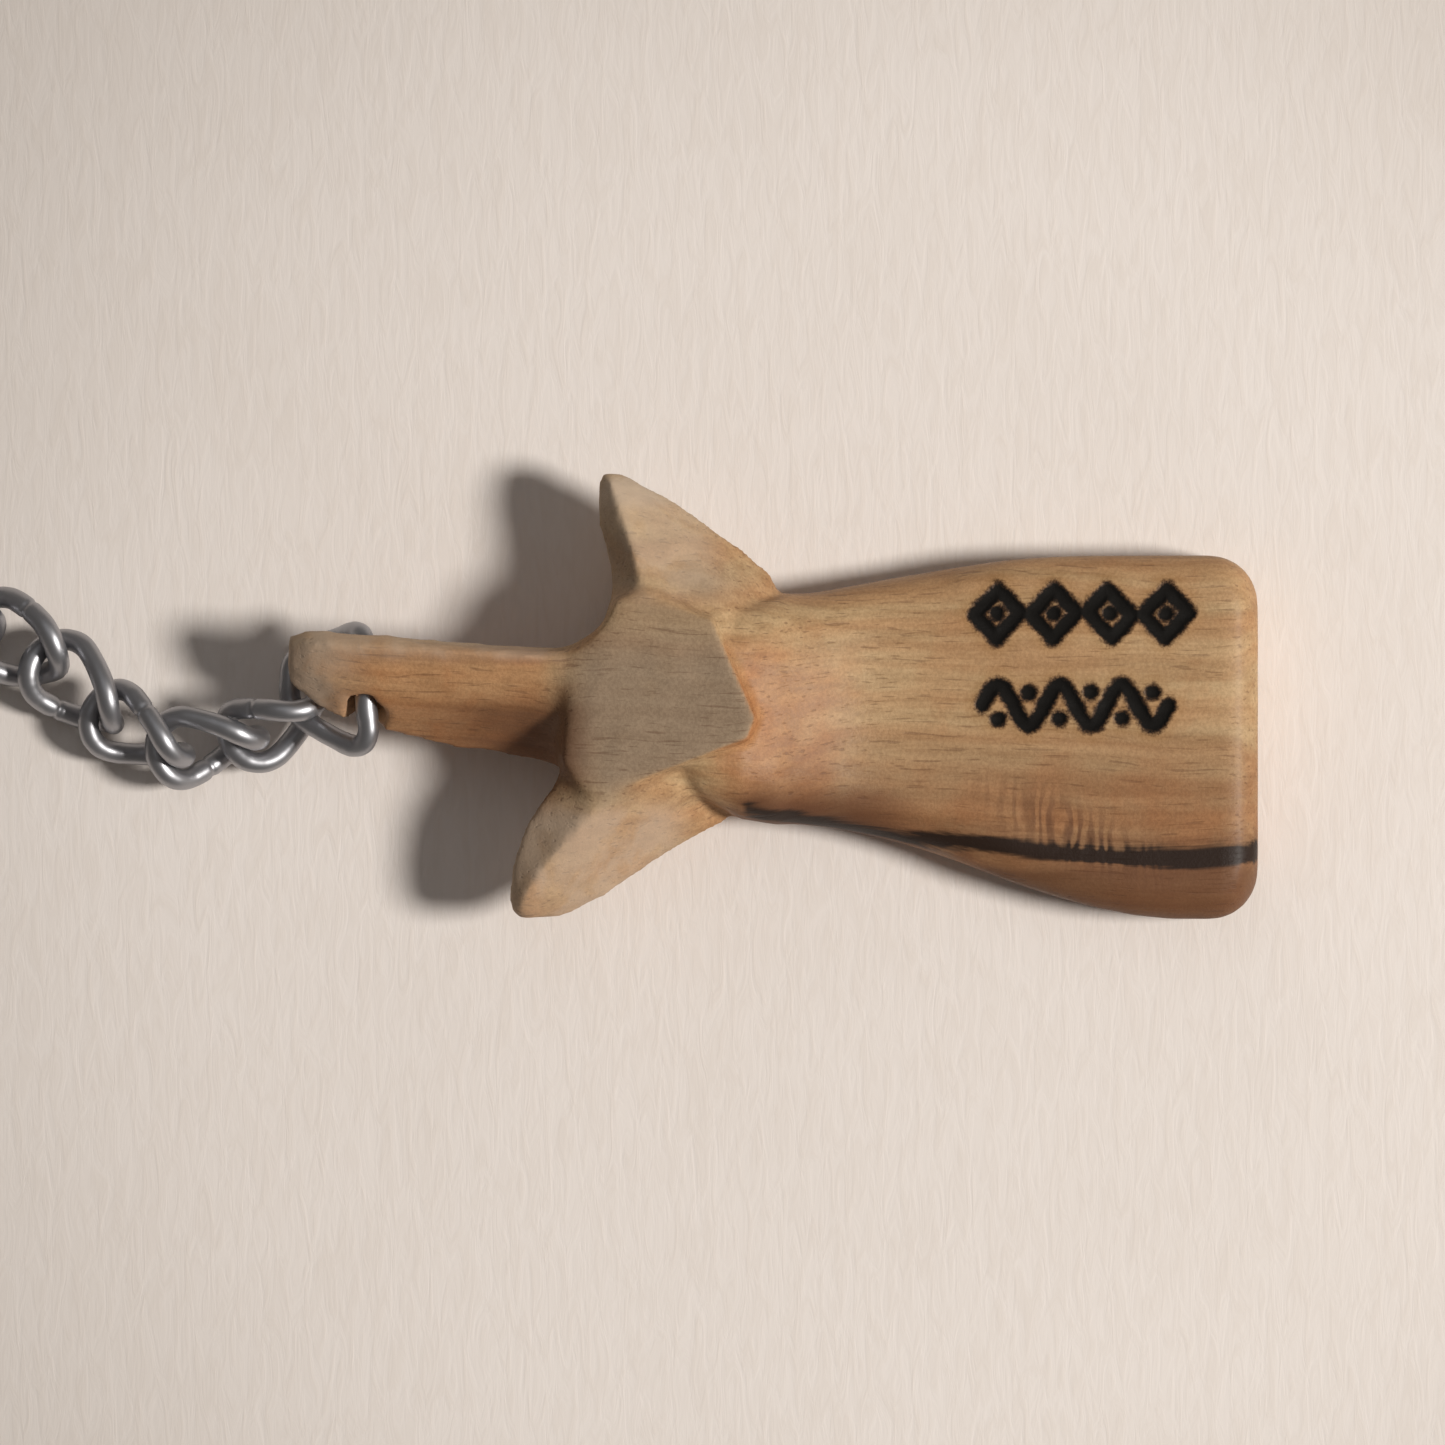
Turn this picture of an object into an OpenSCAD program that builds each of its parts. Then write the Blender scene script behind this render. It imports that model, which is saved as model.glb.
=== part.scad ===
// Keychain: a whittled wooden fob with a three-armed star and a rounded tab, on a twisted steel chain
// that ends in a split key ring.
// Millimetres. The fob lies on its flat back on z = 0 with its face up (+Z) and its tab towards +X.
// The chain runs from the long arm towards -X and lies on the same plane as the fob.

/* [Fob] */
// Origin to the end of the tab
tab_l = 50.5; // [40:0.5:62]
// How far the tab reaches above the origin (+Y) at its end
tab_up = 12.6; // [10:0.1:16]
// How far the tab reaches below the origin (-Y) at its end
tab_down = 19.2; // [15:0.1:24]
// Thickness of the tab
tab_t = 9; // [7:0.1:11]
// Corner radius of the tab, seen from its face
tab_corner_r = 4.2; // [2:0.1:6]
// Roundness of the tab's long edges
tab_edge_r = 3; // [1:0.1:3.4]
// How far the neck reaches above the origin (+Y)
neck_up = 9; // [7:0.1:11]
// How far the neck reaches below the origin (-Y)
neck_down = 11; // [9:0.1:13.5]
// Height of the star's flat face above the flat back
star_t = 15; // [12.5:0.1:18]
// Origin to the tip of the long arm (-X)
long_arm_l = 34.4; // [28:0.1:42]
// Origin to the tip of the upper arm (+Y)
upper_arm_l = 19.9; // [16:0.1:24]
// Origin to the tip of the lower arm (-Y)
lower_arm_l = 19.2; // [16:0.1:23]

/* [Arm hole and ring] */
// Diameter of the hole drilled sideways through the long arm
hole_d = 3.2; // [2.6:0.1:4]
// Tip of the long arm to the axis of the hole
hole_from_tip = 7; // [6:0.1:9]
// Height of the hole's axis, as a share of the star's height
hole_share = 0.667; // [0.64:0.001:0.72]
// Hole axis to the far side of the arm ring, in wire diameters
arm_ring_reach = 3.8; // [3.6:0.05:4.2]

/* [Chain] */
// Diameter of the chain wire
wire_d = 2; // [1.6:0.05:2.4]
// Length of the opening in a link, in wire diameters
link_eye_l = 3.6; // [3:0.05:4.5]
// Width of the opening in a link, in wire diameters
link_eye_w = 2.2; // [2.05:0.05:2.8]
// Turn of each end of a link about its length
link_twist = 50; // [35:1:60]
// Gap between the wires of linked pieces
link_play = 0.15; // [0.1:0.01:0.3]

/* [Key ring] */
// Outer diameter of the connecting ring
jump_ring_d = 12; // [11:0.1:15]
// Wire diameter of the connecting ring
jump_wire_d = 1.6; // [1.2:0.1:2]
// Outer diameter of the split key ring
key_ring_d = 28; // [22:0.5:36]
// Radial width of the key ring's flat wire
key_wire_w = 2.2; // [1.6:0.1:3]
// Height of one turn of the key ring's flat wire
key_wire_h = 1.1; // [0.8:0.1:1.6]

/* [Hidden] */

wire_sides = 10;        // sides of a swept wire
bend_steps = 7;         // stations in a quarter of a link's end bend
side_steps = 3;         // stations along half of a link's straight side

// ---- small geometry helpers ----

function unit(v) = v / norm(v);
function mix(a, b, t) = a + (b - a) * t;
function ease(t) = let (c = min(1, max(0, t))) c * c * (3 - 2 * c);
function ease_out(t) = sin(90 * min(1, max(0, t)));
function flat(lists) = [for (l = lists) each l];

// Value at s in a table of rows that start with their own s; column c.
function row_below(table, s, i = 0) =
    i >= len(table) - 2 || table[i + 1][0] >= s ? i : row_below(table, s, i + 1);
function read(table, s, c) =
    let (i = row_below(table, s), a = table[i], b = table[i + 1])
    mix(a[c], b[c], (s - a[0]) / (b[0] - a[0]));

// Closed solid through rings of points, all with the same number of points, capped at both ends.
module loft(rings) {
    n = len(rings[0]);
    last = len(rings) - 1;
    sides = [for (k = [0:last - 1], i = [0:n - 1])
        let (a = k * n + i, b = k * n + (i + 1) % n)
        each [[a, b + n, b], [a, a + n, b + n]]];
    polyhedron(flat(rings), concat(
        [[for (i = [0:n - 1]) i]], sides, [[for (i = [n - 1:-1:0]) last * n + i]]), convexity = 6);
}

// Ring of points about p, across the direction t, with `up` kept to one side.
function wire_ring(p, t, r, up) =
    let (side = unit(cross(up, t)), over = cross(unit(t), side))
    [for (i = [0:wire_sides - 1]) let (a = 360 * i / wire_sides)
        p + r * cos(a) * side + r * sin(a) * over];

// Round wire along a closed path.
module closed_wire(path, d, up) {
    n = len(path);
    m = wire_sides;
    rings = [for (k = [0:n - 1])
        wire_ring(path[k], path[(k + 1) % n] - path[(k + n - 1) % n], d / 2, up)];
    faces = [for (k = [0:n - 1], i = [0:m - 1])
        let (a = k * m + i, b = k * m + (i + 1) % m, c = (k + 1) % n * m)
        each [[a, c + (i + 1) % m, b], [a, c + i, c + (i + 1) % m]]];
    polyhedron(flat(rings), faces, convexity = 8);
}

// Smooth closed curve through points, `steps` stations from each point to the next.
function curve_at(a, b, c, d, t) =
    0.5 * (2 * b + (c - a) * t + (2 * a - 5 * b + 4 * c - d) * t * t
        + (3 * b - a - 3 * c + d) * t * t * t);
function closed_curve(pts, steps) =
    let (n = len(pts))
    [for (k = [0:n - 1], j = [0:steps - 1])
        curve_at(pts[(k + n - 1) % n], pts[k], pts[(k + 1) % n], pts[(k + 2) % n], j / steps)];

// ---- carved fob ----

// Rounded box section across X: y0..y1 by z0..z1, its corners ry wide and rz high.
function round_section(x, y0, y1, z0, z1, ry, rz, steps = 5) =
    [for (c = [[y1 - ry, z0 + rz, -90], [y1 - ry, z1 - rz, 0], [y0 + ry, z1 - rz, 90],
               [y0 + ry, z0 + rz, 180]], i = [0:steps])
        let (a = c[2] + 90 * i / steps) [x, c[0] + ry * cos(a), c[1] + rz * sin(a)]];

// The tab's edges flare out from the neck, the upper one sooner than the lower one.
function tab_top(x) = neck_up + (tab_up - neck_up) * ease_out((x - 9.5) / (0.72 * tab_l - 9.5));
function tab_low(x) = -neck_down - (tab_down - neck_down) * ease((x - 9) / (0.87 * tab_l - 9));
// Height of the face, from the star's down a slope over the neck to the tab's.
function face_z(x) = mix(star_t - 0.7, tab_t, ease((x - 1) / 18));
// Inside the star the neck draws in, so that only its root shows.
function neck_draw(x) = 1 - 0.45 * (1 - ease((x + 5) / 13));

module tab_and_neck() {
    corner_x = tab_l - tab_corner_r;
    edge_x = tab_l - tab_edge_r;
    along = concat([for (i = [0:15]) mix(-5, corner_x, i / 15)],
                   [for (a = [15:15:90]) corner_x + tab_corner_r * sin(a)]);
    loft([for (x = along)
        let (over = max(0, (x - corner_x) / tab_corner_r),
             inset = tab_corner_r * (1 - sqrt(max(0, 1 - over * over))),
             lip = max(0, (x - edge_x) / tab_edge_r),
             thin = tab_edge_r * (1 - sqrt(max(0, 1 - lip * lip))) * 0.8,
             soft = mix(4.5, tab_edge_r, ease((x - 6) / 14)))
        round_section(x, tab_low(x) * neck_draw(x) + inset, tab_top(x) * neck_draw(x) - inset,
                      thin * 0.9, face_z(x) - thin,
                      soft + 0.6, min(soft, face_z(x) / 2 - thin - 0.2))]);
}

// Outline of the star's flat face, and how far its sides lean out below it.
star_face = [[-9.5, 4.4], [-6.6, 6.4], [-5.9, 9], [-2.6, 9.6], [2.9, 7.2], [6.7, -1.6], [6, -3.5],
             [-3.9, -7.5], [-8, -8.6], [-10.6, -5.5]];
star_levels = [[0, 0.86], [0.08, 0.94], [0.55, 1.03], [0.93, 1.02], [1, 0.97]];

module star_centre() {
    loft([for (l = star_levels) [for (p = [for (i = [len(star_face) - 1:-1:0]) star_face[i]])
        [p[0] * l[1], p[1] * l[1], star_t * l[0]]]]);
}

// An arm's stations from the star to its tip: share of the arm's length, then across the arm the
// positions of its near edge, ridge, second ridge and far edge, then heights as shares of star_t of
// its underside, near edge, ridge, second ridge and far edge.
long_arm = [
    [0.10, 5.4, 3.6, -2.0, -6.6, 0.05, 0.70, 0.98, 0.94, 0.55],
    [0.29, 4.8, 3.9, -1.4, -6.2, 0.16, 0.74, 0.98, 0.86, 0.48],
    [0.42, 4.9, 4.1, -0.9, -5.2, 0.26, 0.75, 0.96, 0.83, 0.50],
    [0.58, 5.3, 4.4, -0.4, -4.4, 0.34, 0.76, 0.94, 0.82, 0.53],
    [0.75, 5.9, 4.8, 0.2, -3.0, 0.43, 0.78, 0.93, 0.83, 0.60],
    [0.87, 6.2, 5.0, 1.2, -1.8, 0.49, 0.78, 0.91, 0.82, 0.62],
    [0.95, 6.3, 5.0, 2.4, -0.2, 0.55, 0.76, 0.86, 0.78, 0.63],
    [1.00, 5.8, 4.8, 3.4, 1.4, 0.61, 0.71, 0.76, 0.73, 0.66]];
upper_arm = [
    [0.20, 8.8, 4.2, -2.0, -7.0, 0.05, 0.45, 0.95, 0.98, 0.72],
    [0.42, 9.6, 3.4, -2.9, -6.3, 0.14, 0.46, 0.84, 0.97, 0.72],
    [0.54, 8.2, 2.6, -3.6, -6.3, 0.22, 0.47, 0.78, 0.94, 0.70],
    [0.66, 5.5, 1.2, -4.2, -6.8, 0.30, 0.48, 0.73, 0.90, 0.68],
    [0.77, 2.5, -0.8, -4.9, -7.3, 0.37, 0.50, 0.69, 0.86, 0.67],
    [0.87, -0.2, -2.4, -5.6, -7.5, 0.42, 0.52, 0.66, 0.82, 0.66],
    [0.95, -2.9, -4.2, -6.1, -7.4, 0.46, 0.54, 0.64, 0.76, 0.64],
    [1.00, -4.9, -5.5, -6.3, -7.0, 0.51, 0.55, 0.60, 0.68, 0.61]];
lower_arm = [
    [0.22, -9.5, -3.0, 1.0, 6.2, 0.05, 0.84, 0.99, 0.86, 0.50],
    [0.43, -12.0, -6.0, -0.5, 5.6, 0.12, 0.82, 0.99, 0.82, 0.46],
    [0.55, -13.6, -8.2, -3.0, 4.2, 0.19, 0.79, 0.96, 0.80, 0.45],
    [0.66, -14.4, -10.2, -5.4, 0.4, 0.27, 0.76, 0.92, 0.77, 0.47],
    [0.79, -15.1, -12.4, -8.0, -3.2, 0.34, 0.72, 0.86, 0.74, 0.50],
    [0.90, -15.3, -13.8, -10.2, -6.4, 0.40, 0.68, 0.80, 0.71, 0.53],
    [0.97, -15.0, -14.1, -11.6, -8.9, 0.45, 0.64, 0.72, 0.67, 0.55],
    [1.00, -14.2, -13.6, -12.1, -10.3, 0.51, 0.60, 0.64, 0.62, 0.56]];

// Section of an arm as [across, height] points; its underside is narrower than its edges.
function arm_section(row) =
    let (near = row[1], far = row[4], inset = (far - near) * 0.3)
    [[near + inset, row[5]], [far - inset, row[5]], [far, row[9]], [row[3], row[8]],
     [row[2], row[7]], [near, row[6]]];

module long_arm() {
    loft([for (row = long_arm) [for (q = arm_section(row))
        [-long_arm_l * row[0], q[0], q[1] * star_t]]]);
}

module upper_arm() {
    loft([for (row = upper_arm) [for (q = arm_section(row))
        [q[0], upper_arm_l * row[0], q[1] * star_t]]]);
}

module lower_arm() {
    loft([for (row = lower_arm) [for (q = arm_section(row))
        [q[0], -lower_arm_l * row[0], q[1] * star_t]]]);
}

hole_x = hole_from_tip - long_arm_l;
hole_z = hole_share * star_t;
hole_end = 20;          // the drill goes this far past the fob's middle on both sides

module carved_fob() {
    color("burlywood") difference() {
        union() {
            tab_and_neck();
            star_centre();
            long_arm();
            upper_arm();
            lower_arm();
        }
        translate([hole_x, hole_end, hole_z]) rotate([90, 0, 0])
            cylinder(d = hole_d, h = 2 * hole_end, $fn = 48);
    }
}

// ---- arm ring ----

// The ring goes through the hole, round both edges of the arm, and back behind it. Its points are
// offsets from the hole's axis in wire diameters: along the arm, then from an edge of the arm, then
// in height. Its far side hangs at a height that suits the chain, which lies on the surface.
hole_row = -hole_x / long_arm_l;
edge_fall = 1.7;        // how far the arm's edges fall away where the ring turns round them
edge_stand = 0.8;       // how far the ring stands off them, in wire diameters
arm_up = read(long_arm, hole_row, 1) + edge_stand * wire_d - edge_fall;
arm_down = read(long_arm, hole_row, 4) - edge_stand * wire_d + edge_fall + 0.1;
ring_far_z = 2.8 * wire_d;
ring_side = sqrt(pow(arm_ring_reach * wire_d, 2) - pow(hole_z - ring_far_z, 2));
ring_through = [for (p = [[0, arm_up, -1.3, 0], [0, arm_down, 1, 0], [0.1, arm_down, -0.25, -0.15],
                          [-0.3, arm_down, -0.85, -0.6], [-1.3, arm_down, -0.55, -1.3]])
    [hole_x + p[0] * wire_d, p[1] + p[2] * wire_d, hole_z + p[3] * wire_d]];
ring_far = [for (p = [[0, arm_down + 1.3], [-0.5, (arm_up + arm_down) / 2], [0.2, arm_up - 2.2]])
    [hole_x - ring_side + p[0], p[1], ring_far_z]];
ring_back = [for (p = [[-1.2, -0.25, -1.65], [-0.25, -0.1, -0.65]])
    [hole_x + p[0] * wire_d, arm_up + p[1] * wire_d, hole_z + p[2] * wire_d]];
ring_points = concat(ring_through, ring_far, ring_back);
ring_steps = 4;
ring_path = closed_curve(ring_points, ring_steps);

module arm_ring() {
    color("dimgray") closed_wire(ring_path, wire_d, unit([1, 0, -0.9]));
}

// ---- chain ----

half_l = (link_eye_l + 1) * wire_d / 2;  // centre of a link to the centre of its end wire
half_w = (link_eye_w + 1) * wire_d / 2;
reach = wire_d + link_play;              // end wire to end wire, centre to centre

// Each link: heading of its length towards the piece before it, its pitch, its roll and its slack.
link_pose = [
    [28, 20, 54, 0.3],
    [8, -7, 51, 0.4],
    [-28, 7, 52, 0.4],
    [-44, 0, 36, 0.2],
    [-29, 2, 17, 0.1],
    [9, 10, 11, 0.3],
    [19, -3, -6, 0.1],
    [2, -2, 2, 0.1]];

function heading(pose) = [cos(pose[1]) * cos(pose[0]), cos(pose[1]) * sin(pose[0]), sin(pose[1])];

// The first link hangs on the far side of the arm ring, whose inside lies towards hook_in.
ring_hook = ring_points[5];
ring_middle = [for (c = [0:2]) let (all = [for (p = ring_path) p[c]]) all * [for (v = all) 1] / len(all)];
hook_in = unit(ring_middle - ring_hook);

// Centre of a piece that hangs by its end wire, `arm` from its centre, in the eye before it: the wire
// lies `gap` into that eye, on the line that halves the bend from direction `before` to direction u.
function hung_centre(hook, before, u, arm, gap) = hook + gap * unit(u + before) - arm * u;
function link_centre(i) =
    let (u = heading(link_pose[i]), gap = reach + link_pose[i][3])
    i == 0 ? hung_centre(ring_hook, hook_in, u, half_l, gap)
           : let (before = heading(link_pose[i - 1]))
             hung_centre(link_centre(i - 1) - half_l * before, before, u, half_l, gap);

// A link's wire: a long loop, turned about its length by link_twist at each end.
quarter = [for (i = [0:bend_steps - 1]) let (a = 90 * i / bend_steps)
    [half_l - half_w + half_w * cos(a), half_w * sin(a)]];
side = [for (i = [0:side_steps]) [mix(half_l - half_w, 0, i / side_steps), half_w]];
half_loop = concat(quarter, side, [for (i = [side_steps - 1:-1:0]) [-side[i][0], half_w]],
                   [for (i = [bend_steps - 1:-1:0]) [-quarter[i][0], quarter[i][1]]]);
loop = concat(half_loop, [for (i = [len(half_loop) - 2:-1:1]) [half_loop[i][0], -half_loop[i][1]]]);
link_path = [for (p = loop) let (a = link_twist * p[0] / half_l) [p[0], p[1] * cos(a), p[1] * sin(a)]];

module chain_link(i) {
    pose = link_pose[i];
    color("slategray") translate(link_centre(i)) rotate([0, -pose[1], pose[0]]) rotate([pose[2], 0, 0])
        closed_wire(link_path, wire_d, [0, 0, 1]);
}

// ---- connecting ring and split key ring ----

// The connecting ring hangs in the last link and leans on the surface on its lower side (-Y).
last_u = heading(link_pose[len(link_pose) - 1]);
last_hook = link_centre(len(link_pose) - 1) - half_l * last_u;
jump_r = (jump_ring_d - jump_wire_d) / 2;
jump_pitch = -2;
jump_u = heading([0, jump_pitch]);
jump_gap = (wire_d + jump_wire_d) / 2 + link_play;
jump_centre = hung_centre(last_hook, last_u, jump_u, jump_r, jump_gap);
jump_lift = 0.07;                        // under the connecting ring's lowest point
jump_roll = asin(min(1, (jump_centre[2] - jump_wire_d / 2 - jump_lift) / jump_r));

module connecting_ring() {
    color("silver") translate(jump_centre) rotate([0, -jump_pitch, 0]) rotate([jump_roll, 0, 0])
        rotate_extrude($fn = 64) translate([jump_r, 0]) circle(d = jump_wire_d, $fn = 24);
}

// The key ring lies on the surface and is lifted on one side, where it crosses over the low side of
// the connecting ring.
key_r = (key_ring_d - key_wire_w) / 2;
key_gap = 0.06;                          // between the ring's two turns
key_step = key_wire_h + key_gap;
key_play = 0.2;                          // between the key ring and the ring it crosses
key_side = -172;                         // direction from the connecting ring to the key ring's centre
key_lift_side = -11;                     // direction from its centre to its lifted side
key_tilt = asin((jump_wire_d + jump_lift + key_play) / (2 * key_r));
key_over = 0.25;                         // its wire lies this far past the connecting ring's centre
key_centre = [jump_centre[0] + (key_r - key_over) * cos(key_side),
              jump_centre[1] + (key_r - key_over) * sin(key_side),
              key_ring_d / 2 * sin(key_tilt)];

// The flat wire climbs from the lower turn to the upper one over a short ramp.
function key_level(a) = key_step * ease((a - 335) / 50);
key_section = [[-0.5, 0.85], [-0.35, 1], [0.35, 1], [0.5, 0.85], [0.5, 0.15], [0.35, 0], [-0.35, 0],
               [-0.5, 0.15]];

module split_key_ring() {
    turns = [for (a = [25:8:329]) a, for (a = [335:5:385]) a, for (a = [391:8:695]) a];
    color("silver") translate(key_centre) rotate([0, -key_tilt, key_lift_side]) loft([for (a = turns)
        [for (q = key_section) let (r = key_r + q[0] * key_wire_w)
            [r * cos(a), r * sin(a), key_level(a) + q[1] * key_wire_h]]]);
}

carved_fob();
arm_ring();
chain_link(0);  // chain_link_01
chain_link(1);  // chain_link_02
chain_link(2);  // chain_link_03
chain_link(3);  // chain_link_04
chain_link(4);  // chain_link_05
chain_link(5);  // chain_link_06
chain_link(6);  // chain_link_07
chain_link(7);  // chain_link_08
connecting_ring();
split_key_ring();
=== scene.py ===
"""Keychain: a whittled wooden star fob on a chain of twisted steel links that ends in a split key ring."""
import math

import bmesh
import bpy
import numpy as np
from mathutils import Matrix, Vector, noise


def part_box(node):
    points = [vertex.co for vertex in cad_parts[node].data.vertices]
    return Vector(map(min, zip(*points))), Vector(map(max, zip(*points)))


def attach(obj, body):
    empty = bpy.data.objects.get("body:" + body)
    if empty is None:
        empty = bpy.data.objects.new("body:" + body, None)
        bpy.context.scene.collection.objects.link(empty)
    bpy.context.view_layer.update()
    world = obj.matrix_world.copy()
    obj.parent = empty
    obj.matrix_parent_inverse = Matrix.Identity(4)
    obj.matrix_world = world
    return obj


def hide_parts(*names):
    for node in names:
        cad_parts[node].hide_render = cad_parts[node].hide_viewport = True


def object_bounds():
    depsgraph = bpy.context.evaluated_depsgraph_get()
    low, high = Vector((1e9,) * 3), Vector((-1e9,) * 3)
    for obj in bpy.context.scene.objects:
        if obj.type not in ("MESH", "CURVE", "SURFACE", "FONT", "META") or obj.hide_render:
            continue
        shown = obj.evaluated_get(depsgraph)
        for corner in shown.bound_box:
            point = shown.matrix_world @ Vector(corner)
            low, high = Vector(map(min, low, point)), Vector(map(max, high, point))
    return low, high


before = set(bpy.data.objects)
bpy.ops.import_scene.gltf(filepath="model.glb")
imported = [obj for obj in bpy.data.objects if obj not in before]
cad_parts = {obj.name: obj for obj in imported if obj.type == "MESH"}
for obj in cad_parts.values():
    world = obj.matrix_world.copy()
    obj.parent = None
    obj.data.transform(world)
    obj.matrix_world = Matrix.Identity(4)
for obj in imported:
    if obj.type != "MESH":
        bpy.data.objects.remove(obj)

CAD_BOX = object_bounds()
MM = 0.001
HAIR = 0.02 * MM                         # a gap too thin to see
WELD = 1e-7                              # points nearer than this become one

bl_info = {
    "name": "Whittled keychain",
    "version": (1, 0, 0),
    "blender": (4, 5, 0),
    "location": "View3D > Sidebar > Keychain",
    "description": "Builds a whittled wooden fob, its twisted chain and its key ring",
    "category": "Object",
}


# ---- sizes and colours a user would change ----

def length(name, description, default):
    return bpy.props.FloatProperty(name=name, description=description, default=default, subtype="DISTANCE",
                                   unit="LENGTH", precision=5)


def colour(name, description, default):
    return bpy.props.FloatVectorProperty(name=name, description=description, default=default, size=3,
                                         subtype="COLOR", min=0.0, max=1.0)


def share(name, description, default):
    return bpy.props.FloatProperty(name=name, description=description, default=default, min=0.0, max=1.0,
                                   subtype="FACTOR")


class KeychainFobSettings(bpy.types.PropertyGroup):
    cell: length("Mesh cell", "Size of the cells that the carved surface is rebuilt from", 0.00036)
    knife: length("Knife marks", "Depth of the shallow facets that the knife left", 0.00016)
    burn_depth: length("Burn depth", "Depth of the burnt ornament", 0.00028)
    stroke: length("Stroke width", "Width of the burnt strokes", 0.00125)
    tan: colour("Tan wood", "Pale wood of the tab", (0.50, 0.342, 0.188))
    orange: colour("Orange wood", "Warmer wood of the neck and the arms", (0.450, 0.205, 0.086))
    # The grey below is also painted shade on the arms' left sides and beside the neck.
    grey: colour("Grey wood", "Weathered wood of the star's flat face", (0.312, 0.226, 0.152))
    # The colour below also paints a highlight along the long arm's upper edge.
    pale_and_highlight: colour("Ashen wood", "Rubbed, bleached wood on the arms and their tips", (0.56, 0.45, 0.34))
    # The dark colour below also paints the shade on the wood's undersides.
    dark: colour("Dark wood", "Wood in the hollows and along the streak", (0.115, 0.048, 0.024))
    rubbed: colour("Rubbed wood", "Wood on the worn edges", (0.78, 0.62, 0.42))
    streak: colour("Streak", "Dark stripe along the tab", (0.026, 0.014, 0.009))
    toasted: colour("Toasted wood", "Wide halo of the burnt strokes", (0.34, 0.17, 0.055))
    scorched: colour("Scorched wood", "Narrow rim of the burnt strokes", (0.045, 0.018, 0.007))
    char: colour("Char", "Burnt wood", (0.006, 0.005, 0.004))
    gloss: share("Gloss", "Roughness of the oiled wood", 0.47)


class KeychainChainSettings(bpy.types.PropertyGroup):
    wire: length("Wire diameter", "Diameter of the chain's wire", 0.00197)
    eye_length: length("Eye length", "Length of the opening in a link", 0.0072)
    eye_width: length("Eye width", "Width of the opening in a link", 0.0044)
    twist: bpy.props.FloatProperty(name="Twist", description="Turn of each end of a link about its length",
                                   default=math.radians(50), subtype="ANGLE", unit="ROTATION")
    seam: length("Seam width", "Width of the butt joint in a link", 0.00022)
    steel: colour("Worn steel", "Bare metal where the chain is rubbed", (0.31, 0.305, 0.30))
    tarnish: colour("Tarnish", "Dull film in the crevices", (0.040, 0.037, 0.036))
    dullness: share("Dullness", "How much of the chain is under the dull film", 0.80)
    polish: share("Polish", "Roughness of the chain's bare metal", 0.13)


class KeychainRingSettings(bpy.types.PropertyGroup):
    jump_outside: length("Connecting ring", "Outer diameter of the connecting ring", 0.012)
    jump_wire: length("Connecting ring wire", "Wire diameter of the connecting ring", 0.00158)
    key_outside: length("Key ring", "Outer diameter of the split key ring", 0.028)
    flat_width: length("Flat wire width", "Radial width of the key ring's wire", 0.00218)
    flat_height: length("Flat wire height", "Height of one turn of the key ring's wire", 0.00109)
    turn_gap: length("Gap of the turns", "Gap between the key ring's two turns", 0.00006)
    bright: colour("Bright steel", "Plated spring steel", (0.56, 0.56, 0.57))
    dullness: share("Dullness", "How much of the rings is under the dull film", 0.22)
    polish: share("Polish", "Roughness of the rings' bare metal", 0.16)


class KeychainStageSettings(bpy.types.PropertyGroup):
    paper: colour("Paper", "Colour of the sheet under the keychain", (0.895, 0.825, 0.775))
    paper_fibre: colour("Paper fibre", "Colour of the fibres in the sheet", (0.72, 0.62, 0.53))
    # The colour below is painted shade, laid on the sheet away from its painted pool of light.
    paper_painted_shade: colour("Paper shade", "Colour of the sheet towards its edges", (0.42, 0.375, 0.335))
    frame_width: length("Frame width", "Width of what the camera sees on the sheet", 0.1266)
    camera_height: length("Camera height", "Height of the camera above the sheet", 2.2)
    key_power: bpy.props.FloatProperty(name="Key light", description="Power of the light on the right",
                                       default=12.2, unit="POWER")
    fill: bpy.props.FloatProperty(name="Fill", description="Strength of the even light from all round",
                                  default=0.115, min=0.0)


# ---- shader helpers ----

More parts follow.
